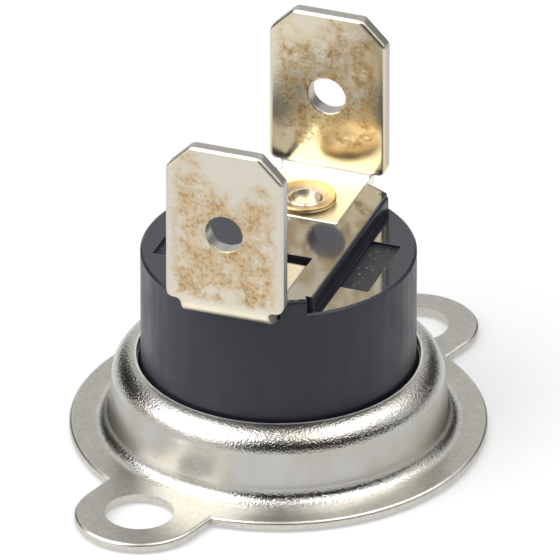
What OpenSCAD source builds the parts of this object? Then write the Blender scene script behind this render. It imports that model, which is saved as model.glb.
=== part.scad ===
// Snap-disc temperature switch with a loose mounting flange and two blade terminals.
// Millimetres. The sensing face lies on z = 0, the ears of the flange lie along X,
// and the terminals stand along a line turned about Z from the ears.

/* [Body] */
// Diameter of the moulded body above its base ring
body_d = 14.1; // [13.7:0.05:14.5]
// Height from the underside of the base ring to the side segments
body_h = 7.55; // [7.2:0.05:8.8]
// Width of the base ring beyond the body
ring_w = 0.55; // [0.5:0.01:0.65]
// Height of the base ring that the cap is crimped over
ring_h = 0.6; // [0.5:0.05:0.8]
// Edge break on the base ring, under the crimp
ring_edge = 0.3; // [0.25:0.01:0.35]
// Width of the edge break round the top rim
rim_edge = 0.12; // [0.05:0.01:0.2]
// Width of the raised bar that carries the terminals
bar_w = 7.9; // [7.4:0.05:8.4]
// Height of the raised bar above the side segments
bar_h = 0.8; // [0.5:0.05:1.2]
// Corner radius at the ends of the raised bar
bar_corner_r = 0.5; // [0.4:0.05:0.8]
// Rounding along the top edge of the raised bar
bar_edge_r = 0.2; // [0.1:0.01:0.3]
// Length of the land between the two terminal pockets
land_l = 3.6; // [3.2:0.1:4]
// Depth of the terminal pockets below the top of the bar
pocket_depth = 1; // [0.85:0.05:1.3]
// Length of the sunken panel on each side segment
panel_l = 5; // [3:0.1:6]
// Width of the sunken panel
panel_w = 1.6; // [0.8:0.05:1.8]
// Depth of the sunken panel
panel_depth = 0.2; // [0.1:0.05:0.4]
// Distance from the raised bar to the sunken panel
panel_gap = 0.27; // [0.1:0.01:0.5]
// Shift of both sunken panels towards the front terminal
panel_shift = 0.26; // [0:0.02:0.5]

/* [Switch chamber] */
// Length of the chamber along the terminals
chamber_l = 11.4; // [10.2:0.1:12.6]
// Width of the chamber
chamber_w = 5.4; // [4.6:0.1:5.8]
// Thickness of the roof under the terminal pockets
roof_t = 1.16; // [0.8:0.02:1.4]
// Length of the boss under each rivet
boss_l = 2.8; // [2.7:0.05:2.9]
// Drop of the boss below the roof of the chamber
boss_drop = 1.7; // [1.6:0.05:1.8]

/* [Mounting flange] */
// Width of the flat rim of the flange
flange_rim = 1.325; // [1:0.005:1.6]
// Thickness of the flange sheet
flange_t = 0.4; // [0.3:0.02:0.5]
// Height of the flange from its underside to its lip
flange_h = 4.23; // [4:0.01:4.4]
// Width of the level lip inside the rolled shoulder
lip_w = 0.07; // [0.05:0.01:0.15]
// Radius between the wall of the flange and its flat
foot_r = 0.7; // [0.4:0.05:0.9]
// Distance between the two screw holes
ear_pitch = 23.8; // [23:0.1:24.6]
// Width of each ear
ear_w = 6.6; // [6:0.1:7.2]
// Diameter of the screw holes
ear_hole_d = 3.5; // [2.8:0.05:3.8]
// Rounding along the upper edge of the flat and the ears
sheet_edge_r = 0.18; // [0.05:0.01:0.22]

/* [Sensing cap] */
// Thickness of the cap sheet
cap_t = 0.4; // [0.3:0.02:0.5]
// Outer corner radius of the cap
cap_corner_r = 0.8; // [0.6:0.05:1]
// Outer radius of the crimped edge
crimp_r = 0.75; // [0.7:0.01:0.8]

/* [Terminals] */
// Turn of the terminal line from the ear line, in degrees
terminal_turn = 16.4; // [0:0.2:90]
// Width of the blades
blade_w = 6.3; // [5.6:0.1:6.4]
// Thickness of the terminal strip
blade_t = 0.8; // [0.7:0.05:0.85]
// Height of a terminal from the underside of its foot to its tip
blade_h = 9.88; // [9:0.02:11]
// Corner chamfer of the blade tip
tip_chamfer = 1.3; // [0.8:0.05:1.7]
// Rounding of the corners of the blade tip
tip_round = 0.6; // [0.2:0.05:0.8]
// Bevel along the edges of both faces of the blade
blade_bevel = 0.12; // [0.05:0.01:0.2]
// Diameter of the latch hole
latch_d = 2; // [1.5:0.05:2.4]
// Distance from the tip to the centre of the latch hole
latch_down = 4.66; // [4:0.02:5.5]
// Width of the foot and of the neck above it
foot_w = 4.7; // [4.2:0.05:4.9]
// Height of the neck from the underside of the foot to the blade's lower corners
neck_h = 1.1; // [1.1:0.02:1.6]
// Rounding of the blade's lower corners
neck_round = 0.4; // [0.2:0.05:0.5]
// Radius between the neck and the lower edge of the blade
neck_fillet = 0.3; // [0.1:0.02:0.3]
// Inner radius of the bend between foot and blade
bend_r = 0.35; // [0.15:0.05:0.5]
// Distance from the inner end of the pocket to the end of the foot
foot_end_gap = 0.5; // [0.3:0.05:0.6]

/* [Rivets] */
// Distance between the two rivets
rivet_pitch = 8; // [7.8:0.05:8.2]
// Diameter of the rivet shank
shank_d = 2.3; // [1.8:0.05:2.4]
// Diameter of the flared head
head_d = 3.2; // [3:0.05:3.3]
// Height of the flared head above the foot
head_h = 0.36; // [0.3:0.02:0.5]
// Diameter of the dimple in the head
dimple_d = 1.4; // [1:0.05:1.5]
// Diameter of the clinched tail
tail_d = 2.8; // [2.6:0.05:3]
// Thickness of the clinched tail
tail_h = 0.35; // [0.25:0.05:0.5]

/* [Contacts] */
// Thickness of the two inner strips
strip_t = 0.4; // [0.3:0.02:0.5]
// Width of the two inner strips
strip_w = 3.6; // [3.2:0.05:4]
// Strip left beyond the rivet hole at the outer end of each inner strip
strip_edge = 0.4; // [0.3:0.02:0.44]
// Thickness of the spring leaf
leaf_t = 0.2; // [0.1:0.02:0.3]
// Width of the spring leaf
leaf_w = 2.6; // [2:0.05:3]
// Overlap of the spring leaf on the end of its anchor
leaf_lap = 0.7; // [0.5:0.05:0.9]
// Diameter of the contacts
contact_d = 1.5; // [1.2:0.05:1.6]
// Thickness of each contact
contact_h = 0.4; // [0.3:0.05:0.45]

/* [Disc and pin] */
// Thickness of the snap disc
disc_t = 0.25; // [0.15:0.01:0.3]
// Depth of the dish in the cold disc
disc_dish = 0.3; // [0.2:0.02:0.4]
// Height of the pin guide
guide_h = 2.6; // [2.2:0.05:3]
// Thickness of the skirt of the pin guide, round the snap disc
skirt_t = 0.75; // [0.6:0.05:1]
// Diameter of the transfer pin
pin_d = 1.6; // [1.2:0.05:2]

/* [Clearances] */
// Between the flange lip and the body
lip_gap = 0.23; // [0.15:0.01:0.28]
// Between the flange wall and the cap
cap_gap = 0.2; // [0.15:0.01:0.3]
// Between the cap wall and the pieces inside it
ring_gap = 0.1; // [0.05:0.01:0.14]
// Between the crimped edge and the body
crimp_gap = 0.15; // [0.1:0.01:0.25]
// Between the body wall and the inner face of a blade
blade_gap = 0.2; // [0.1:0.02:0.4]
// Between a foot and the side of its pocket
foot_gap = 0.13; // [0.08:0.01:0.2]
// Between a rivet and its holes
rivet_gap = 0.05; // [0.02:0.01:0.08]
// Between the inner strips or the leaf and the chamber
strip_gap = 0.1; // [0.08:0.01:0.15]
// Between the transfer pin and its guide
pin_gap = 0.05; // [0.02:0.01:0.08]
// Between faces that touch when the switch is assembled
touch_gap = 0.02; // [0.01:0.005:0.04]
// Between the snap disc and the pieces round it
disc_gap = 0.1; // [0.05:0.01:0.14]

/* [Hidden] */
$fn = 96;
// Extra length that carries a cut clear of the surface
over = 1;
// Sides of the small circles inside a hull
hull_fn = 32;

// Radii
body_r = body_d / 2;
ring_r = body_r + ring_w;
cap_in_r = ring_r + ring_gap;
cap_r = cap_in_r + cap_t;
lip_r = body_r + lip_gap;
wall_r = cap_r + cap_gap + flange_t;
roll_r = wall_r - lip_r - lip_w;
foot_x = wall_r + foot_r;
flange_r = foot_x + flange_rim;
skirt_out = cap_r - cap_corner_r - ring_gap;
skirt_in = skirt_out - skirt_t;
disc_r = skirt_in - disc_gap;
pin_r = pin_d / 2;
shank_r = shank_d / 2;
head_r = head_d / 2;
rivet_hole_r = shank_r + rivet_gap;

// Levels
z_seat = cap_t + guide_h;
z_ring = z_seat + ring_h;
z_segment = z_seat + body_h;
z_bar = z_segment + bar_h;
z_pocket = z_bar - pocket_depth;
z_foot = z_pocket + blade_t;
z_tip = z_pocket + blade_h;
z_neck = z_pocket + neck_h;
z_roof = z_pocket - roof_t;
z_boss = z_roof - boss_drop;
z_strip = z_boss - strip_t;
z_arm = z_boss + 2 * contact_h + touch_gap;
z_lip = z_ring + cap_t + touch_gap + flange_t;
z_flange = z_lip - flange_h;
z_flat = z_flange + flange_t;
z_roll = z_lip - roll_r;

// Places along the terminal line
rivet_u = rivet_pitch / 2;
strip_end = rivet_u + rivet_hole_r + strip_edge;
seat_end = strip_end + strip_gap;
boss_u = seat_end - boss_l;
pocket_u = land_l / 2;
blade_in = body_r + blade_gap;
blade_out = blade_in + blade_t;
bend_u = blade_in - bend_r;
leaf_u = boss_u - strip_gap;
contact_u = leaf_u - contact_d / 2;

// The snap disc is part of a sphere whose bowl opens upwards
disc_ball_r = (disc_r * disc_r + disc_dish * disc_dish) / (2 * disc_dish);
z_disc = cap_t + touch_gap;
z_disc_rim = z_disc + disc_dish + disc_t;
z_guide_rim = z_disc_rim + disc_gap;
z_guide_web = z_guide_rim + disc_dish + touch_gap;

phenolic = [0.13, 0.13, 0.14];
nickel = [0.74, 0.74, 0.71];
brass = [0.80, 0.68, 0.42];
plated_brass = [0.78, 0.72, 0.58];
silver = [0.86, 0.86, 0.84];
bare_aluminium = [0.80, 0.81, 0.82];
ceramic_white = [0.92, 0.90, 0.85];
spring_bronze = [0.72, 0.53, 0.32];
disc_steel = [0.62, 0.60, 0.56];
guide_brown = [0.32, 0.22, 0.15];

// Turns what is drawn along X onto the terminal line
module on_terminal_line() {
    rotate([0, 0, terminal_turn]) children();
}

// Draws a piece at the rear and the same piece, half a turn round, at the front
module both_ends() {
    for (turn = [0, 180])
        rotate([0, 0, turn]) children();
}

// Quarter of a ring in the quadrant that the two signs name
module quarter_ring(r_out, r_in, sign_x, sign_y) {
    intersection() {
        difference() {
            circle(r_out);
            circle(r_in);
        }
        translate([sign_x < 0 ? -r_out : 0, sign_y < 0 ? -r_out : 0])
            square(r_out);
    }
}

// Box that starts at u along the terminals, centred across them, from z_low to z_high
module slot(u, length, width, z_low, z_high) {
    translate([u, -width / 2, z_low])
        cube([length, width, z_high - z_low]);
}

// Half section of the raised bar, whose upper corner is rounded
module bar_section(half_w) {
    inner_w = half_w - bar_edge_r;
    translate([0, z_ring]) square([half_w, z_bar - bar_edge_r - z_ring]);
    translate([0, z_ring]) square([inner_w, z_bar - z_ring]);
    translate([inner_w, z_bar - bar_edge_r]) circle(bar_edge_r);
}

// Raised bar: a straight stretch, two ends that follow the body and four round corners
module bar() {
    corner_v = bar_w / 2 - bar_corner_r;
    corner_u = sqrt(pow(body_r - bar_corner_r, 2) - corner_v * corner_v);
    corner = [corner_u, corner_v];
    other_corner = [corner_u, -corner_v];
    rotate([90, 0, 90])
        linear_extrude(2 * corner_u, center = true)
            for (side = [0, 1])
                mirror([side, 0]) bar_section(bar_w / 2);
    both_ends()
        intersection() {
            rotate_extrude() bar_section(body_r);
            linear_extrude(z_tip)
                polygon([corner / 2, corner * 2, other_corner * 2, other_corner / 2]);
        }
    for (side_u = [-1, 1], side_v = [-1, 1])
        translate([side_u * corner_u, side_v * corner_v, 0])
            rotate_extrude() bar_section(bar_corner_r);
}

module body_turning() {
    rotate_extrude()
        polygon([
            [0, z_seat],
            [ring_r, z_seat],
            [ring_r, z_ring - ring_edge],
            [ring_r - ring_edge, z_ring],
            [body_r, z_ring],
            [body_r, z_segment - rim_edge],
            [body_r - rim_edge, z_segment],
            [0, z_segment]
        ]);
}

// Everything cut out of one half of the raised bar
module pocket_cuts() {
    slot(pocket_u, body_d, foot_w + 2 * foot_gap, z_pocket, z_bar + over);
    translate([rivet_u, 0, z_strip]) cylinder(r = rivet_hole_r, h = z_bar - z_strip);
}

// Sunken panel on the side segment that the sign names
module panel_cut(side) {
    panel_v = (bar_w + panel_w) / 2 + panel_gap;
    translate([-panel_shift, side * panel_v, z_segment])
        cube([panel_l, panel_w, 2 * panel_depth], center = true);
}

// Chamber, with the seats of the two inner strips at its ends and the bosses between seat and roof
module chamber_cut() {
    slot(-chamber_l / 2, chamber_l, chamber_w, z_seat - over, z_boss);
    slot(-seat_end, 2 * seat_end, strip_w + 2 * strip_gap, z_seat - over, z_boss);
    slot(-boss_u, 2 * boss_u, chamber_w, z_seat, z_roof);
}

module body() {
    color(phenolic)
        on_terminal_line()
            difference() {
                union() {
                    body_turning();
                    bar();
                }
                both_ends() pocket_cuts();
                for (side = [-1, 1])
                    panel_cut(side);
                chamber_cut();
            }
}

// Section of flat flange sheet that ends in a rounded upper edge
module sheet_section(length) {
    inner_l = length - sheet_edge_r;
    square([length, flange_t - sheet_edge_r]);
    square([inner_l, flange_t]);
    translate([inner_l, flange_t - sheet_edge_r]) circle(sheet_edge_r);
}

// Section of the drawn flange: flat, foot bend, wall, rolled shoulder and lip
module flange_section() {
    translate([foot_x, z_flange]) sheet_section(flange_r - foot_x);
    translate([foot_x, z_flat + foot_r]) quarter_ring(foot_r + flange_t, foot_r, -1, -1);
    translate([wall_r - flange_t, z_flat + foot_r]) square([flange_t, z_roll - z_flat - foot_r]);
    translate([wall_r - roll_r, z_roll]) quarter_ring(roll_r, roll_r - flange_t, 1, 1);
    translate([lip_r, z_lip - flange_t]) square([wall_r - roll_r - lip_r, flange_t]);
}

// The two ears as one strip with round ends, open in the middle for the wall
module ears() {
    difference() {
        union() {
            rotate([90, 0, 90])
                linear_extrude(ear_pitch, center = true)
                    for (side = [0, 1])
                        mirror([side, 0]) sheet_section(ear_w / 2);
            for (side = [-1, 1])
                translate([side * ear_pitch / 2, 0, 0])
                    rotate_extrude() sheet_section(ear_w / 2);
        }
        translate([0, 0, -over]) cylinder(r = foot_x, h = flange_t + 2 * over);
    }
}

module mounting_flange() {
    color(nickel)
        difference() {
            union() {
                rotate_extrude() flange_section();
                translate([0, 0, z_flange]) ears();
            }
            for (side = [-1, 1])
                translate([side * ear_pitch / 2, 0, z_flange - over])
                    cylinder(d = ear_hole_d, h = flange_t + 2 * over);
        }
}

// Section of the cap: floor, corner, wall and the edge crimped over the base ring
module cap_section() {
    crimp_x = cap_r - crimp_r;
    z_crimp = z_ring + cap_t - crimp_r;
    square([cap_r - cap_corner_r, cap_t]);
    translate([cap_r - cap_corner_r, cap_corner_r])
        quarter_ring(cap_corner_r, cap_corner_r - cap_t, 1, -1);
    translate([cap_in_r, cap_corner_r]) square([cap_t, z_crimp - cap_corner_r]);
    translate([crimp_x, z_crimp]) quarter_ring(crimp_r, crimp_r - cap_t, 1, 1);
    translate([body_r + crimp_gap, z_ring]) square([crimp_x - body_r - crimp_gap, cap_t]);
}

module sensing_cap() {
    color(bare_aluminium) rotate_extrude() cap_section();
}

module bimetal_disc() {
    color(disc_steel)
        translate([0, 0, z_disc + disc_ball_r])
            rotate_extrude()
                intersection() {
                    difference() {
                        circle(disc_ball_r, $fn = 4 * $fn);
                        circle(disc_ball_r - disc_t, $fn = 4 * $fn);
                    }
                    translate([0, -disc_ball_r - over]) square([disc_r, disc_ball_r]);
                }
}

// Plate with a skirt that stands on the cap floor round the snap disc
module pin_guide() {
    seat_r = disc_r - 2 * disc_t - 2 * disc_gap;
    color(guide_brown)
        rotate_extrude()
            polygon([
                [pin_r + pin_gap, z_guide_web],
                [seat_r, z_guide_web],
                [seat_r, z_guide_rim],
                [skirt_in, z_guide_rim],
                [skirt_in, cap_t],
                [skirt_out, cap_t],
                [skirt_out, z_guide_rim],
                [ring_r, z_guide_rim],
                [ring_r, z_seat],
                [pin_r + pin_gap, z_seat]
            ]);
}

// Ceramic rod with round ends, from the middle of the disc to the spring leaf
module transfer_pin() {
    z_low = z_disc + disc_t + touch_gap;
    z_high = z_arm - touch_gap;
    color(ceramic_white)
        rotate_extrude()
            intersection() {
                union() {
                    translate([0, z_low + pin_r]) circle(pin_r);
                    translate([0, z_high - pin_r]) circle(pin_r);
                    translate([0, z_low + pin_r]) square([pin_r, z_high - z_low - pin_d]);
                }
                translate([0, z_low - over]) square([pin_r, z_high - z_low + 2 * over]);
            }
}

// Side view of a terminal: foot, bend and blade
module terminal_side() {
    foot_start = pocket_u + foot_end_gap;
    z_bend = z_foot + bend_r;
    translate([foot_start, z_pocket]) square([bend_u - foot_start, blade_t]);
    translate([bend_u, z_bend]) quarter_ring(bend_r + blade_t, bend_r, 1, -1);
    translate([blade_in, z_bend]) square([blade_t, z_tip - z_bend]);
}

// Front view of the blade: chamfered tip, round lower corners and fillets down to the neck
module blade_front() {
    half_w = blade_w / 2;
    half_foot = foot_w / 2;
    shoulder = half_w - half_foot;
    corner_r = min(neck_round, shoulder / 2);
    fillet_r = min(neck_fillet, shoulder / 2);
    setback = tip_round * tan(22.5);
    hull()
        for (side = [-1, 1]) {
            translate([side * (half_w - corner_r), z_neck + corner_r])
                circle(corner_r, $fn = hull_fn);
            translate([side * (half_w - tip_round), z_tip - tip_chamfer - setback])
                circle(tip_round, $fn = hull_fn);
            translate([side * (half_w - tip_chamfer - setback), z_tip - tip_round])
                circle(tip_round, $fn = hull_fn);
        }
    difference() {
        translate([-half_foot - fillet_r, z_neck - fillet_r])
            square([foot_w + 2 * fillet_r, fillet_r + corner_r]);
        for (side = [-1, 1])
            translate([side * (half_foot + fillet_r), z_neck - fillet_r]) circle(fillet_r);
    }
}

// Bevels along the tip, the chamfers and the sides of one face of the blade
module face_bevels(face_u) {
    bevel_side = blade_bevel * sqrt(2);
    edge_v = [0, (blade_w - tip_chamfer) / 2, blade_w / 2];
    edge_down = [0, tip_chamfer / 2, blade_h / 2];
    for (lean = [-2 : 2])
        translate([face_u, -sign(lean) * edge_v[abs(lean)], z_tip - edge_down[abs(lean)]])
            rotate([lean * 45, 0, 0])
                rotate([0, 45, 0])
                    cube([bevel_side, 2 * blade_h, bevel_side], center = true);
}

module terminal() {
    color(plated_brass)
        on_terminal_line()
            difference() {
                intersection() {
                    rotate([90, 0, 0])
                        linear_extrude(blade_w + over, center = true) terminal_side();
                    union() {
                        slot(0, blade_out + over, foot_w, z_pocket, z_neck + neck_round);
                        translate([bend_u, 0, 0])
                            rotate([90, 0, 90])
                                linear_extrude(bend_r + blade_t + over) blade_front();
                    }
                }
                face_bevels(blade_in);
                face_bevels(blade_out);
                translate([blade_in - over, 0, z_tip - latch_down])
                    rotate([0, 90, 0]) cylinder(d = latch_d, h = blade_t + 2 * over);
                translate([rivet_u, 0, z_pocket - over])
                    cylinder(r = rivet_hole_r, h = blade_t + 2 * over);
            }
}

module rear_terminal() {
    terminal();
}

module front_terminal() {
    rotate([0, 0, 180]) terminal();
}

// Turned section of a rivet: tail, shank and a flared head with a dished face
module rivet_section() {
    rim = head_h / 4;
    dish = head_h / 2;
    dimple_r = dimple_d / 2;
    collar_r = dimple_r + rim;
    polygon([
        [0, z_strip - tail_h],
        [tail_d / 2 - rim, z_strip - tail_h],
        [tail_d / 2, z_strip - rim],
        [tail_d / 2, z_strip],
        [shank_r, z_strip],
        [shank_r, z_foot],
        [shank_r + rim, z_foot],
        [head_r, z_foot + head_h / 2],
        [head_r, z_foot + head_h - rim],
        [head_r - rim / 2, z_foot + head_h],
        [head_r - rim, z_foot + head_h],
        [collar_r + 2 * rim, z_foot + dish],
        [collar_r + rim, z_foot + dish],
        [collar_r, z_foot + dish + rim],
        [dimple_r + rim / 2, z_foot + dish + rim],
        [dimple_r, z_foot + dish],
        [dimple_r - rim, z_foot],
        [0, z_foot]
    ]);
}

module rivet() {
    color(brass)
        on_terminal_line()
            translate([rivet_u, 0, 0]) rotate_extrude() rivet_section();
}

module rear_rivet() {
    rivet();
}

module front_rivet() {
    rotate([0, 0, 180]) rivet();
}

// Flat strip under the rear rivet, from inner_u to past the rivet hole
module inner_strip(inner_u) {
    color(brass)
        on_terminal_line()
            difference() {
                slot(inner_u, strip_end - inner_u, strip_w, z_strip, z_boss);
                translate([rivet_u, 0, z_strip - over])
                    cylinder(r = rivet_hole_r, h = strip_t + 2 * over);
            }
}

// Strip under the front rivet, whose end carries the spring leaf
module contact_anchor() {
    rotate([0, 0, 180]) inner_strip(leaf_u - leaf_lap);
}

// Strip under the rear rivet, whose end carries the fixed contact
module fixed_contact_strip() {
    inner_strip(contact_u - contact_d / 2);
}

// Spring leaf that steps up from the anchor and reaches over the pin to the contacts
module contact_arm() {
    step_u = leaf_lap - leaf_u;
    tip_u = leaf_u - leaf_w / 2;
    color(spring_bronze)
        on_terminal_line() {
            slot(-leaf_u, leaf_lap, leaf_w, z_boss, z_boss + leaf_t);
            slot(step_u - leaf_t, leaf_t, leaf_w, z_boss, z_arm + leaf_t);
            slot(step_u - leaf_t, tip_u - step_u + leaf_t, leaf_w, z_arm, z_arm + leaf_t);
            translate([tip_u, 0, z_arm]) cylinder(d = leaf_w, h = leaf_t);
        }
}

// One contact button with its underside at that level
module contact_button(level) {
    color(silver)
        on_terminal_line()
            translate([contact_u, 0, level]) cylinder(d = contact_d, h = contact_h);
}

module moving_contact() {
    contact_button(z_arm - contact_h);
}

module fixed_contact() {
    contact_button(z_boss);
}

body();
mounting_flange();
sensing_cap();
bimetal_disc();
pin_guide();
transfer_pin();
front_terminal();
rear_terminal();
front_rivet();
rear_rivet();
contact_anchor();
contact_arm();
moving_contact();
fixed_contact_strip();
fixed_contact();
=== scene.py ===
"""Looks for a snap-disc temperature switch: materials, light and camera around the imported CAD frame."""
import math

import bpy
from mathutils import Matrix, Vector
from mathutils.geometry import tessellate_polygon


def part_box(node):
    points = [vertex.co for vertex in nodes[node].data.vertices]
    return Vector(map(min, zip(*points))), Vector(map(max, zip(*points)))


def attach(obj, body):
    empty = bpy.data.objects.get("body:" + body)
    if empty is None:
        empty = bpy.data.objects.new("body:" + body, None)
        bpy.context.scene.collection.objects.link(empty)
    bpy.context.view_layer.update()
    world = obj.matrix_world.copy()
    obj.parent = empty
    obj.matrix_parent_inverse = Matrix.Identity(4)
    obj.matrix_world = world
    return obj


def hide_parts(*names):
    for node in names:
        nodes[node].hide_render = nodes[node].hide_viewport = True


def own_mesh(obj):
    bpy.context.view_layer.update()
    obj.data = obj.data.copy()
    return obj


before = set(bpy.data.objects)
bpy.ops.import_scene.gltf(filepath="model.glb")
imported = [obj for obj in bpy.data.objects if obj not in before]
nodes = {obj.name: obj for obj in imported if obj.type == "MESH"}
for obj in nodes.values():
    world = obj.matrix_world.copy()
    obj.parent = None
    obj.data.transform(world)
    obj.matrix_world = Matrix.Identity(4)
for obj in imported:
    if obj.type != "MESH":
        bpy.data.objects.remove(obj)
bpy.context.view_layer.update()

MM = 0.001

# Turn of the terminal line from the ear line
TERMINAL_TURN = math.radians(16.4)

# Levels and sizes of the CAD pieces in millimetres
SHEET_T = 0.4
SHEET_EDGE_R = 0.18
LIP_R = 7.28
WALL_R = 8.7
ROLL_R = 1.35
FOOT_R = 0.7
EAR_W = 6.6
EAR_HOLE_R = 1.75
BLADE_T = 0.8
BLADE_W = 6.3
RIVET_U = 4.0
BAR_H = 0.8
PANEL_DEPTH = 0.2
flange_low, flange_high = (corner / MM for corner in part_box("mounting_flange"))
EAR_X = flange_high.x - EAR_W / 2
FLANGE_R = flange_high.y
FOOT_X = WALL_R + FOOT_R
LIP_Z = flange_high.z
ROLL_Z = LIP_Z - ROLL_R
FLAT_Z = flange_low.z + SHEET_T
FILLET_Z = FLAT_Z + FOOT_R
FOOT_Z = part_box("rear_terminal")[0].z / MM + BLADE_T
TIP_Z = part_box("rear_terminal")[1].z / MM
PANEL_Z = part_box("body")[1].z / MM - BAR_H - PANEL_DEPTH

# Lean of the flange's drawn wall in degrees, and the thickness of its sheet at the roll
WALL_LEAN = 4.5
ROLL_T = 0.3


# Node helpers

def add(tree, kind, inputs=None, **settings):
    """Adds a node, sets its options, and links or sets its inputs."""
    made = tree.nodes.new(kind)
    for name, value in settings.items():
        setattr(made, name, value)
    for key, value in (inputs or {}).items():
        if isinstance(value, bpy.types.NodeSocket):
            tree.links.new(value, made.inputs[key])
        else:
            made.inputs[key].default_value = value
    return made


def colour(r, g, b):
    """Linear colour from screen values of 0 to 255."""
    def linear(c):
        c = c / 255
        return c / 12.92 if c <= 0.04045 else ((c + 0.055) / 1.055) ** 2.4
    return (linear(r), linear(g), linear(b), 1.0)


def math_node(tree, operation, a, b=0.0):
    return add(tree, "ShaderNodeMath", {0: a, 1: b}, operation=operation).outputs[0]


def times(tree, a, b):
    return math_node(tree, "MULTIPLY", a, b)


def plus(tree, a, b):
    return math_node(tree, "ADD", a, b)


def highest(tree, a, b):
    return math_node(tree, "MAXIMUM", a, b)


def size_of(tree, a):
    return math_node(tree, "ABSOLUTE", a)


def mix(tree, factor, a, b):
    """Mixes two colours."""
    made = add(tree, "ShaderNodeMix", {0: factor, 6: a, 7: b}, data_type="RGBA")
    return made.outputs[2]


def band(tree, value, low, high, out_low=0.0, out_high=1.0):
    """Smooth step from out_low to out_high as value goes from low to high."""
    made = add(
        tree, "ShaderNodeMapRange", {0: value, 1: low, 2: high, 3: out_low, 4: out_high},
        interpolation_type="SMOOTHSTEP",
    )
    return made.outputs[0]


def millimetres(tree, turn=0.0, stretch=(1.0, 1.0, 1.0)):
    """Object coordinates in millimetres, turned about Z, each axis scaled by stretch."""
    here = add(tree, "ShaderNodeTexCoord").outputs["Object"]
    turned = add(tree, "ShaderNodeVectorRotate", {"Vector": here, "Angle": -turn}, rotation_type="Z_AXIS")
    scale = tuple(s / MM for s in stretch)
    scaled = add(
        tree, "ShaderNodeVectorMath", {0: turned.outputs[0], 1: scale}, operation="MULTIPLY"
    )
    return scaled.outputs[0]


def noise(tree, place, scale, detail=3.0, roughness=0.55):
    made = add(
        tree, "ShaderNodeTexNoise",
        {"Vector": place, "Scale": scale, "Detail": detail, "Roughness": roughness},
    )
    return made.outputs[0]


def specks(tree, place, scale, radius, share):
    """Round dots in a share of the cells of a scattered pattern. The radius is a part of a cell."""
    cell = add(tree, "ShaderNodeTexVoronoi", {"Vector": place, "Scale": scale})
    dot = band(tree, cell.outputs["Distance"], radius, radius * 0.6)
    pick = add(tree, "ShaderNodeSeparateColor", {0: cell.outputs["Color"]}).outputs[0]
    return times(tree, dot, math_node(tree, "LESS_THAN", pick, share))


def axes(tree, place):
    """The three coordinates of a place."""
    return add(tree, "ShaderNodeSeparateXYZ", {0: place}).outputs


def distance_from_axis(tree, along, across):
    squares = plus(tree, times(tree, along, along), times(tree, across, across))
    return math_node(tree, "SQRT", squares)


def surface_direction(tree, turn=0.0):
    """The three parts of the surface's own direction, turned about Z."""
    normal = add(tree, "ShaderNodeTexCoord").outputs["Normal"]
    turned = add(tree, "ShaderNodeVectorRotate", {"Vector": normal, "Angle": -turn}, rotation_type="Z_AXIS")
    return axes(tree, turned.outputs[0])


def new_material(name):
    material = bpy.data.materials.new(name)
    material.use_nodes = True
    tree = material.node_tree
    shader = tree.nodes["Principled BSDF"]
    return material, tree, shader


def finish_shader(tree, shader, base, roughness, metallic=0.0):
    tree.links.new(base, shader.inputs["Base Color"])
    tree.links.new(roughness, shader.inputs["Roughness"])
    shader.inputs["Metallic"].default_value = metallic


def bump(tree, shader, height, strength, distance, edge=0.0):
    """Bump from a height, over an edge that is rounded by a small radius, both in millimetres."""
    settings = {"Height": height, "Strength": strength, "Distance": distance * MM}
    if edge:
        settings["Normal"] = add(tree, "ShaderNodeBevel", {"Radius": edge * MM}, samples=8).outputs[0]
    made = add(tree, "ShaderNodeBump", settings)
    tree.links.new(made.outputs[0], shader.inputs["Normal"])


def wear(material, *objects):
    """Puts a material on CAD nodes or pieces."""
    for thing in objects:
        thing.data.materials.clear()
        thing.data.materials.append(material)


# Meshes that stand for the flange and the disc

class Skin:
    """Mesh gathered face by face. A corner is a point with the surface's direction there."""

    def __init__(self):
        self.points = {}
        self.faces = []
        self.directions = []

    def face(self, corners):
        places = [Vector(point) for point, direction in corners]
        across = (places[1] - places[0]).cross(places[2] - places[0])
        if across.dot(sum((Vector(direction) for point, direction in corners), Vector())) < 0:
            corners = corners[::-1]
        indices = []
        for point, direction in corners:
            key = tuple(round(value, 5) for value in point)
            indices.append(self.points.setdefault(key, len(self.points)))
            self.directions.append(direction)
        self.faces.append(indices)

    def strip(self, first, second):
        """Fills between two rows of corners."""
        for a, b, c, d in zip(first, first[1:], second[1:], second):
            self.face([a, b, c, d])

    def level(self, loops, z, rise):
        """Fills the area inside the first loop and outside the others."""
        flat = [Vector((point[0], point[1], z)) for loop in loops for point in loop]
        for triangle in tessellate_polygon([[Vector(point) for point in loop] for loop in loops]):
            self.face([(tuple(flat[index]), (0, 0, rise)) for index in triangle])

    def object(self, name):
        mesh = bpy.data.meshes.new(name)
        mesh.from_pydata([Vector(point) * MM for point in self.points], [], self.faces)
        mesh.shade_smooth()
        mesh.normals_split_custom_set(self.directions)
        made = bpy.data.objects.new(name, mesh)
        bpy.context.scene.collection.objects.link(made)
        return made


def section_arc(centre_r, centre_z, radius, start, end, steps, side):
    """Arc in a section: radius from the axis, level, and direction outwards and up for each point."""
    points = []
    for step in range(steps + 1):
        turn = math.radians(start + (end - start) * step / steps)
        out, up = math.cos(turn), math.sin(turn)
        points.append((centre_r + radius * out, centre_z + radius * up, side * out, side * up))
    return points


def ring(radius, z, out, up, centre=0.0, steps=256):
    """Corners round a circle about the axis, or about a point on X."""
    corners = []
    for step in range(steps + 1):
        x = math.cos(2 * math.pi * step / steps)
        y = math.sin(2 * math.pi * step / steps)
        corners.append(((centre + radius * x, radius * y, z), (out * x, out * y, up)))
    return corners


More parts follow.
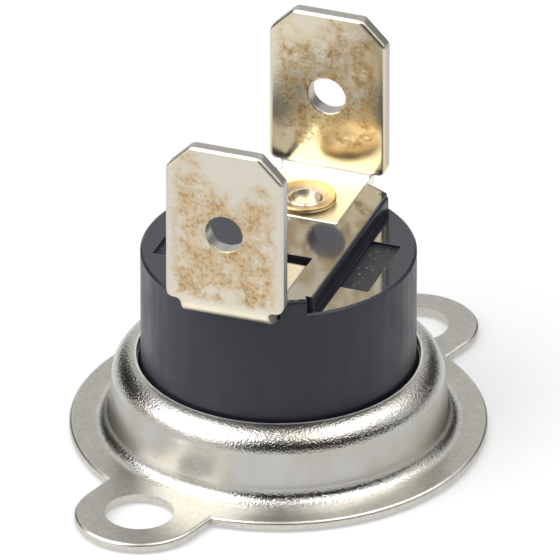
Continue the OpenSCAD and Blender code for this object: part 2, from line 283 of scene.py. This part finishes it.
def outline(inset, z, lean):
    """Runs of corners round the flat and its ears, drawn in by inset, leaning up by an angle."""
    half = EAR_W / 2 - inset
    radius = FLANGE_R - inset
    meet_x = math.sqrt(radius ** 2 - half ** 2)
    meet = math.atan2(half, meet_x)
    ear_steps = 40
    rim_steps = 120
    ear = [(meet_x, -half, 0, -1)]
    for step in range(ear_steps + 1):
        turn = math.pi * (step / ear_steps - 0.5)
        ear.append((EAR_X + half * math.cos(turn), half * math.sin(turn), math.cos(turn), math.sin(turn)))
    ear.append((meet_x, half, 0, 1))
    rim = []
    for step in range(rim_steps + 1):
        turn = meet + (math.pi - 2 * meet) * step / rim_steps
        rim.append((radius * math.cos(turn), radius * math.sin(turn), math.cos(turn), math.sin(turn)))
    out, up = math.cos(lean), math.sin(lean)
    return [
        [((side * x, side * y, z), (side * nx * out, side * ny * out, up)) for x, y, nx, ny in run]
        for side in (1, -1) for run in (ear, rim)
    ]


def make_flange():
    """Drawn sheet whose wall leans in by WALL_LEAN degrees and thins to ROLL_T at the roll."""
    skin = Skin()
    lean = math.radians(WALL_LEAN)
    roll_r = FOOT_X - (FOOT_R + ROLL_R + math.sin(lean) * (ROLL_Z - FILLET_Z)) / math.cos(lean)
    lip = math.degrees(math.acos((LIP_R - roll_r) / ROLL_R))
    upper = section_arc(FOOT_X, FILLET_Z, FOOT_R, 270, 180 + WALL_LEAN, 16, -1)
    upper += section_arc(roll_r, ROLL_Z, ROLL_R, WALL_LEAN, lip, 28, 1)
    lower = section_arc(roll_r, ROLL_Z, ROLL_R - ROLL_T, lip, WALL_LEAN, 20, -1)
    lower += section_arc(FOOT_X, FILLET_Z, FOOT_R + SHEET_T, 180 + WALL_LEAN, 270, 16, 1)
    edge = [(point[0], point[1], -1, 0) for point in (upper[-1], lower[0])]
    for run in (upper, edge, lower):
        rings = [ring(*point) for point in run]
        for first, second in zip(rings, rings[1:]):
            skin.strip(first, second)
    base_z = FLAT_Z - SHEET_T
    edge_z = FLAT_Z - SHEET_EDGE_R
    rows = [outline(0, base_z, 0)]
    edge_steps = 10
    for step in range(edge_steps + 1):
        lean = math.pi / 2 * step / edge_steps
        inset = SHEET_EDGE_R * (1 - math.cos(lean))
        rows.append(outline(inset, edge_z + SHEET_EDGE_R * math.sin(lean), lean))
    for first, second in zip(rows, rows[1:]):
        for lower_run, upper_run in zip(first, second):
            skin.strip(lower_run, upper_run)
    holes = []
    for centre in (-EAR_X, EAR_X):
        top = ring(EAR_HOLE_R, FLAT_Z, -1, 0, centre, 96)
        skin.strip(top, ring(EAR_HOLE_R, base_z, -1, 0, centre, 96))
        holes.append([point for point, _ in top[:-1]])
    inner = [point for point, _ in ring(FOOT_X, FLAT_Z, 0, 1)[:-1]]
    for row, z, rise in ((rows[-1], FLAT_Z, 1), (rows[0], base_z, -1)):
        outer = [point for run in row for point, _ in run[:-1]]
        skin.level([outer, inner] + holes, z, rise)
    flange = skin.object("flange_sheet")
    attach(flange, "flange")
    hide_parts("mounting_flange")
    return flange


def make_disc():
    """Snap disc: a copy of the disc's CAD mesh, carried by the switch body."""
    disc = bpy.data.objects.new("snap_disc", nodes["bimetal_disc"].data.copy())
    bpy.context.scene.collection.objects.link(disc)
    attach(disc, "switch")
    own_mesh(disc)
    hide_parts("bimetal_disc")
    return disc


# Materials

def nickel():
    """Nickel-plated sheet: smooth wall and flat, orange peel where the sheet was drawn round a radius."""
    material, tree, shader = new_material("nickel_plate")
    place = millimetres(tree)
    x, y, z = axes(tree, place)
    radius = distance_from_axis(tree, x, y)
    roll = band(tree, z, ROLL_Z - 0.1, ROLL_Z + 0.3)
    low = band(tree, z, FILLET_Z + 0.1, FILLET_Z - 0.15)
    near = band(tree, radius, FOOT_X + 0.1, FOOT_X - 0.15)
    drawn = highest(tree, roll, times(tree, low, near))
    cloud = noise(tree, place, 0.35, 4.0)
    stain = specks(tree, place, 0.45, 0.16, 0.12)
    clean = mix(tree, band(tree, cloud, 0.35, 0.7), colour(186, 185, 181), colour(178, 173, 162))
    # The flat gets lighter tints than the wall and roll, a painted highlight standing for its bright
    # reflection; the mottle in it is random tone.
    flat = band(tree, z, FLAT_Z + 0.1, FLAT_Z)
    mottle = band(tree, noise(tree, place, 4.0, 4.0, 0.7), 0.3, 0.7)
    sheet = mix(tree, flat, clean, mix(tree, mottle, colour(193, 191, 182), colour(209, 207, 199)))
    base = mix(tree, times(tree, stain, noise(tree, place, 3.0)), sheet, colour(120, 105, 82))
    # Painted highlight: a pale line round the lip's inner edge, where the finish is also rougher.
    near_lip = band(tree, radius, LIP_R + 0.16, LIP_R + 0.05)
    painted_lip_highlight = times(tree, near_lip, band(tree, z, LIP_Z - 0.3, LIP_Z - 0.1))
    shine = band(tree, drawn, 0.0, 1.0, 0.27, 0.15)
    dull = plus(tree, shine, times(tree, plus(tree, flat, times(tree, painted_lip_highlight, 5)), 0.06))
    roughness = plus(tree, band(tree, cloud, 0.3, 0.8, -0.02, 0.04), dull)
    finish_shader(tree, shader, mix(tree, painted_lip_highlight, base, colour(236, 233, 224)), roughness, 1.0)
    peel = times(tree, noise(tree, place, 8.5, 2.0, 0.6), drawn)
    scratch = noise(tree, millimetres(tree, math.radians(24), (0.4, 9.0, 1.0)), 1.5, 2.0)
    height = plus(tree, peel, times(tree, scratch, 0.09))
    bump(tree, shader, height, 1.0, 0.028)
    return material


def phenolic():
    """Black moulding: satin round the side, polished on top, matt and dusty in the sunken panels."""
    material, tree, shader = new_material("phenolic")
    place = millimetres(tree)
    level = band(tree, surface_direction(tree)[2], 0.8, 0.97)
    sunk = times(tree, level, band(tree, axes(tree, place)[2], PANEL_Z + 0.12, PANEL_Z + 0.04))
    polished = times(tree, level, band(tree, sunk, 0.0, 1.0, 1.0, 0.0))
    cloud = noise(tree, place, 0.6, 3.0)
    grain = noise(tree, place, 5.0, 4.0, 0.7)
    dust = times(tree, highest(
        tree, specks(tree, place, 1.3, 0.09, 0.22), specks(tree, place, 3.1, 0.12, 0.1)), level)
    grit = times(tree, sunk, times(tree, specks(tree, place, 4.2, 0.2, 0.3), band(tree, cloud, 0.35, 0.6)))
    plastic = mix(tree, cloud, colour(26, 28, 35), colour(32, 35, 43))
    base = mix(tree, highest(tree, dust, grit), plastic, colour(196, 194, 188))
    streak = noise(tree, millimetres(tree, 0.0, (1.6, 1.6, 0.12)), 1.0, 4.0, 0.6)
    satin = band(tree, plus(tree, cloud, streak), 0.7, 1.3, 0.33, 0.5)
    gloss = band(tree, cloud, 0.35, 0.7, 0.06, 0.11)
    shine = add(tree, "ShaderNodeMix", {0: polished, 2: satin, 3: gloss}).outputs[0]
    finish_shader(tree, shader, base, plus(tree, shine, times(tree, dust, 0.6)))
    shader.inputs["IOR"].default_value = 1.5
    shader.inputs["Specular Tint"].default_value = (0.9, 0.94, 1.0, 1.0)
    tree.links.new(polished, shader.inputs["Coat Weight"])
    shader.inputs["Coat IOR"].default_value = 1.6
    shader.inputs["Coat Roughness"].default_value = 0.07
    height = plus(tree, times(tree, noise(tree, place, 9.0, 2.0), 0.04), times(tree, grain, sunk))
    bump(tree, shader, height, 1.0, 0.06, 0.06)
    return material


def plated_strip(name, tints, stain_top, stain_low, clean_h, bare_share, blade_roughness):
    """Plated brass terminal: stained blade with pale margins, grey sheared edges and a foot lightened as a
    painted highlight.

    The tints are those of the upper plating, the even film low down, the stain, its spots and the foot's
    painted highlight.
    The stain sets in from stain_top down to stain_low. Below clean_h above the foot there is only an
    even film. The larger bare_share is, the more of the plating stays free of stain.
    """
    pale, film, tan, brown, bright = tints
    material, tree, shader = new_material(name)
    place = millimetres(tree, TERMINAL_TURN)
    across, up = axes(tree, place)[1:]
    facing = surface_direction(tree, TERMINAL_TURN)
    half_w = BLADE_W / 2
    edge = times(
        tree, band(tree, size_of(tree, facing[0]), 0.75, 0.45), band(tree, up, FOOT_Z + 0.5, FOOT_Z + 0.9))
    foot = band(tree, up, FOOT_Z + 0.6, FOOT_Z + 0.2)
    drift = noise(tree, place, 0.45, 3.0)
    blotch = noise(tree, place, 1.1, 5.0, 0.65)
    fine = noise(tree, place, 4.5, 4.0, 0.7)
    edge_of_stain = plus(tree, up, band(tree, drift, 0.25, 0.75, -2.4, 2.4))
    reach = plus(tree, size_of(tree, across), band(tree, blotch, 0.3, 0.7, -0.35, 0.35))
    margin = band(tree, reach, half_w - 0.2, half_w - 0.75)
    edge_of_film = plus(tree, up, band(tree, blotch, 0.3, 0.7, -0.7, 0.7))
    stained = band(tree, edge_of_film, FOOT_Z + clean_h - 0.6, FOOT_Z + clean_h + 0.6)
    amount = times(tree, times(tree, margin, stained), band(tree, edge_of_stain, stain_top, stain_low))
    plating = mix(tree, band(tree, edge_of_film, FOOT_Z + clean_h, FOOT_Z + clean_h + 3), film, pale)
    light = specks(tree, place, 2.4, 0.34, 0.5)
    bare = band(tree, light, 0.0, 1.0, 1.0, 0.5)
    wash = times(tree, times(tree, amount, bare), band(tree, blotch, bare_share, bare_share + 0.27))
    spots = times(tree, wash, band(tree, plus(tree, fine, times(tree, blotch, 0.5)), 0.7, 0.96))
    blade = mix(tree, spots, mix(tree, wash, plating, tan), brown)
    sheared = mix(tree, edge, blade, colour(188, 185, 178))
    # Painted highlight: the foot takes a lighter tint than the blade's plating.
    base = mix(tree, foot, sheared, bright)
    dull = band(tree, wash, 0.0, 1.0, blade_roughness, blade_roughness + 0.12)
    shine = add(tree, "ShaderNodeMix", {0: highest(tree, foot, edge), 2: dull, 3: 0.38}).outputs[0]
    finish_shader(tree, shader, base, shine, 1.0)
    height = plus(tree, noise(tree, place, 6.0, 2.0), times(tree, spots, 0.5))
    bump(tree, shader, height, 0.12, 0.03, 0.18)
    return material


def rivet_brass():
    """Turned brass rivet: gold rim, speckled dished face and a bright dimple."""
    material, tree, shader = new_material("rivet_brass")
    place = millimetres(tree, TERMINAL_TURN)
    along, across = axes(tree, place)[:2]
    radius = distance_from_axis(tree, plus(tree, size_of(tree, along), -RIVET_U), across)
    speckle = noise(tree, place, 4.5, 3.0, 0.7)
    rim = band(tree, radius, 1.05, 1.35)
    dimple = band(tree, radius, 0.62, 0.45)
    face = mix(tree, band(tree, speckle, 0.4, 0.7), colour(200, 191, 175), colour(164, 151, 134))
    base = mix(tree, dimple, mix(tree, rim, face, colour(220, 196, 146)), colour(248, 243, 230))
    finish_shader(tree, shader, base, band(tree, speckle, 0.3, 0.7, 0.28, 0.42), 1.0)
    bump(tree, shader, speckle, 0.2, 0.03, 0.04)
    return material


def plain(name, tint, roughness, shade, dulling, grain, metallic):
    """Clouded material: its tint darkens to a share, shade, as its roughness rises by dulling."""
    material, tree, shader = new_material(name)
    place = millimetres(tree)
    cloud = noise(tree, place, 1.2, 3.0)
    darker = tuple(c * shade for c in tint[:3]) + (1.0,)
    shine = band(tree, cloud, 0.3, 0.7, roughness, roughness + dulling)
    finish_shader(tree, shader, mix(tree, cloud, tint, darker), shine, metallic)
    bump(tree, shader, noise(tree, place, grain, 2.0), 0.1, 0.02, 0.05)
    return material


def plain_metal(name, tint, roughness):
    return plain(name, tint, roughness, shade=0.8, dulling=0.12, grain=7.0, metallic=1.0)


def plain_solid(name, tint, roughness):
    return plain(name, tint, roughness, shade=0.85, dulling=0.1, grain=9.0, metallic=0.0)


def dress():
    wear(nickel(), nodes["mounting_flange"], make_flange())
    wear(phenolic(), nodes["body"])
    # The last tint of each terminal is the foot's painted highlight.
    front = plated_strip(
        "front_plating",
        (colour(207, 202, 188), colour(212, 205, 188), colour(200, 180, 146), colour(166, 132, 90),
         colour(222, 215, 198)),
        stain_top=TIP_Z - 0.6, stain_low=TIP_Z - 4.2, clean_h=0.7, bare_share=0.28, blade_roughness=0.3)
    rear = plated_strip(
        "rear_plating",
        (colour(212, 204, 184), colour(220, 204, 168), colour(206, 182, 138), colour(160, 130, 84),
         colour(239, 235, 222)),
        stain_top=TIP_Z + 2.0, stain_low=TIP_Z - 3.0, clean_h=1.9, bare_share=0.33, blade_roughness=0.17)
    wear(front, nodes["front_terminal"])
    wear(rear, nodes["rear_terminal"])
    wear(rivet_brass(), nodes["front_rivet"], nodes["rear_rivet"])
    wear(plain_metal("cap_aluminium", colour(205, 206, 208), 0.3), nodes["sensing_cap"])
    wear(plain_metal("disc_metal", colour(170, 165, 155), 0.3), nodes["bimetal_disc"], make_disc())
    wear(plain_metal("strip_brass", colour(214, 190, 130), 0.25),
         nodes["contact_anchor"], nodes["fixed_contact_strip"])
    wear(plain_metal("leaf_bronze", colour(200, 160, 115), 0.25), nodes["contact_arm"])
    wear(plain_metal("contact_silver", colour(232, 232, 228), 0.25),
         nodes["moving_contact"], nodes["fixed_contact"])
    wear(plain_solid("guide_plastic", colour(120, 88, 62), 0.5), nodes["pin_guide"])
    wear(plain_solid("pin_ceramic", colour(240, 236, 226), 0.35), nodes["transfer_pin"])


# Camera at the photograph's viewing angle

CAMERA_AZIMUTH = math.radians(-53.62)
CAMERA_ELEVATION = math.radians(29.63)
CAMERA_DISTANCE = 0.8
CAMERA_LENS = 1009.6
TARGET_RIGHT = 0.073 * MM
TARGET_HEIGHT = 8.637 * MM


def towards(azimuth, elevation):
    """Unit vector from the object towards a viewer at that azimuth and elevation."""
    return Vector((
        math.sin(azimuth) * math.cos(elevation),
        -math.cos(azimuth) * math.cos(elevation),
        math.sin(elevation),
    ))


def beside_camera(azimuth, elevation):
    """Unit vector at an azimuth from the camera's, in degrees to its right, and an elevation."""
    return towards(CAMERA_AZIMUTH + math.radians(azimuth), math.radians(elevation))


def make_camera():
    data = bpy.data.cameras.new("camera")
    data.lens = CAMERA_LENS
    data.clip_start = 0.01
    data.clip_end = 10.0
    camera = bpy.data.objects.new("camera", data)
    bpy.context.scene.collection.objects.link(camera)
    right = Vector((math.cos(CAMERA_AZIMUTH), math.sin(CAMERA_AZIMUTH), 0))
    back = towards(CAMERA_AZIMUTH, CAMERA_ELEVATION)
    target = right * TARGET_RIGHT + Vector((0, 0, TARGET_HEIGHT))
    camera.location = target + back * CAMERA_DISTANCE
    camera.rotation_mode = "QUATERNION"
    camera.rotation_quaternion = (-back).to_track_quat("-Z", "Y")
    bpy.context.scene.camera = camera


# Floor, dark cards and lights

# Drop of the floor below the sensing face, so that the two never coincide
FLOOR_DROP = 0.02 * MM


def ray_is_seen(tree):
    """1 for camera, glossy and transmission rays, 0 for the rays that only carry light."""
    path = add(tree, "ShaderNodeLightPath").outputs
    seen = highest(tree, path["Is Camera Ray"], path["Is Glossy Ray"])
    return highest(tree, seen, path["Is Transmission Ray"])


def make_floor():
    """Pale floor that stays white in the picture and keeps a soft shadow."""
    size = 3.0
    bpy.ops.mesh.primitive_plane_add(size=size, location=(0, 0, -FLOOR_DROP))
    floor = bpy.context.object
    floor.name = "floor"
    material, tree, shader = new_material("floor")
    shader.inputs["Base Color"].default_value = (0.5, 0.5, 0.5, 1.0)
    shader.inputs["Roughness"].default_value = 1.0
    shader.inputs["Specular IOR Level"].default_value = 0.0
    shader.inputs["Emission Color"].default_value = (1.0, 1.0, 1.0, 1.0)
    tree.links.new(times(tree, ray_is_seen(tree), 0.4), shader.inputs["Emission Strength"])
    wear(material, floor)


def make_world():
    world = bpy.data.worlds.new("studio")
    bpy.context.scene.world = world
    world.use_nodes = True
    tree = world.node_tree
    background = tree.nodes["Background"]
    background.inputs["Color"].default_value = (1.0, 1.0, 1.0, 1.0)
    strength = add(tree, "ShaderNodeMapRange", {0: ray_is_seen(tree), 3: 0.25, 4: 1.0}).outputs[0]
    tree.links.new(strength, background.inputs["Strength"])


def softbox(name, azimuth, elevation, width, height, radiance):
    """Area light that faces the object, given by its brightness."""
    distance = 0.5
    data = bpy.data.lights.new(name, "AREA")
    data.shape = "RECTANGLE"
    data.size = width
    data.size_y = height
    data.energy = radiance * math.pi * width * height
    light = bpy.data.objects.new(name, data)
    bpy.context.scene.collection.objects.link(light)
    away = beside_camera(azimuth, elevation)
    light.location = away * distance
    light.rotation_mode = "QUATERNION"
    light.rotation_quaternion = (-away).to_track_quat("-Z", "Y")
    light.visible_camera = False


def dark_card(name, points, faces, glow=0.0):
    """Card out of the picture, which shows only as a dark reflection, or a grey one if it glows."""
    mesh = bpy.data.meshes.new(name)
    mesh.from_pydata(points, [], faces)
    card = bpy.data.objects.new(name, mesh)
    bpy.context.scene.collection.objects.link(card)
    material, _, shader = new_material(name)
    shader.inputs["Base Color"].default_value = (0.03, 0.03, 0.03, 1.0)
    shader.inputs["Roughness"].default_value = 1.0
    shader.inputs["Emission Color"].default_value = (1.0, 1.0, 1.0, 1.0)
    shader.inputs["Emission Strength"].default_value = glow
    wear(material, card)
    card.visible_camera = False
    card.visible_shadow = False
    card.visible_diffuse = False


def curved_card(name, left, right, low, high_left, high_right, glow=0.0):
    """Card curved round the object between two azimuths, up to an edge that may slope, in degrees."""
    distance = 0.4
    columns = 24
    rows = 8
    points = []
    for row in range(rows + 1):
        for column in range(columns + 1):
            azimuth = left + (right - left) * column / columns
            high = high_left + (high_right - high_left) * column / columns
            elevation = low + (high - low) * row / rows
            points.append(beside_camera(azimuth, elevation) * distance)
    faces = []
    for row in range(rows):
        for column in range(columns):
            corner = row * (columns + 1) + column
            faces.append((corner, corner + 1, corner + columns + 2, corner + columns + 1))
    dark_card(name, points, faces, glow)


def overhead_card(name, width, front, back):
    """Dark strip overhead between the two softboxes, from the camera's side to the back."""
    height = 0.42
    side = Vector((math.cos(CAMERA_AZIMUTH), math.sin(CAMERA_AZIMUTH), 0)) * width / 2
    ahead = towards(CAMERA_AZIMUTH, 0)
    level = Vector((0, 0, height))
    points = [
        ahead * front - side + level,
        ahead * front + side + level,
        ahead * -back + side + level,
        ahead * -back - side + level,
    ]
    dark_card(name, points, [(0, 1, 2, 3)])


def make_studio():
    """Places are in degrees round from the camera and up, and the softboxes' sizes are in metres."""
    make_floor()
    make_world()
    softbox("softbox_left", -70, 50, 0.56, 0.56, 3.4)
    softbox("softbox_right", 75, 63, 0.56, 0.3, 2.6)
    curved_card("card_front", -30, 30, 0, 42, 42)
    curved_card("card_right", 30, 100, 0, 42, 8)
    curved_card("card_right_low", 100, 138, 0, 8, 32)
    curved_card("card_right_side", 118, 138, 22, 34, 34)
    curved_card("card_right_back", 138, 162, 0, 34, 34)
    curved_card("card_back", 168, 192, 22, 38, 38, 0.42)
    curved_card("card_left_low", -110, -100, 0, 10, 10)
    curved_card("card_left_back", -158, -102, 0, 38, 44)
    overhead_card("card_top", 0.14, 0.42, 0.36)


dress()
make_camera()
make_studio()
bpy.context.scene.view_settings.view_transform = "Standard"
